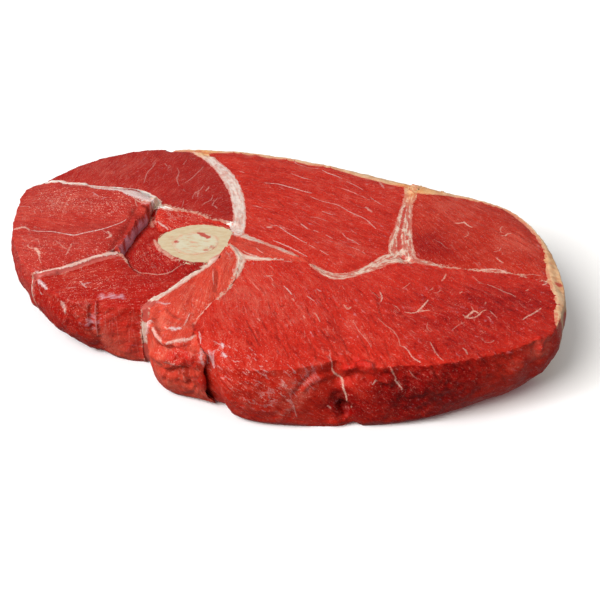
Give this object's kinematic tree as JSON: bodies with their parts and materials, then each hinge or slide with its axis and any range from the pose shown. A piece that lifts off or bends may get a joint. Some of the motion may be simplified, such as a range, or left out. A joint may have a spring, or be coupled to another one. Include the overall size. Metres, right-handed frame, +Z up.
{
  "type": "raw bone-in beef round steak",
  "caption": "Thick raw slice cut across a beef hind leg: separate muscles with fat between them, a thin outer fat cap, and the sawn thigh bone with its marrow. Lies flat.",
  "frame": {"origin": "on the resting plane, under the middle of the slice's box", "axes": "+X runs along the slice's length towards the eye of round, +Y towards the back edge with the fat cap, +Z up through the thickness, from the underside to the cut face"},
  "size_m": [0.3266, 0.2396, 0.0468],
  "materials": {
    "lean_meat": "wet cut face of bright red lean meat, satin with sharp small highlights",
    "dark_meat": "wet cut face of darker red lean meat",
    "fat": "greasy cream fat, satin",
    "bone": "sawn bone, matt and slightly moist",
    "marrow": "soft pale marrow, satin"
  },
  "bodies": {
    "root": {"bone_tip_back": "lean_meat", "bone_tip_front": "lean_meat", "bottom_round": "lean_meat", "centre_tip": "lean_meat", "eye_round": "lean_meat", "fat_cap": "fat", "fat_eye_seam": "fat", "fat_flap_seam": "fat", "fat_inner_seam": "fat", "fat_lobe_seam": "fat", "fat_outer_seam": "fat", "fat_tip_seam": "fat", "fat_wedge_seam": "fat", "femur": "bone", "flap": "lean_meat", "inner_tip": "lean_meat", "marrow": "marrow", "outer_tip": "dark_meat", "top_round": "lean_meat", "wedge": "lean_meat"}
  },
  "joints": []
}
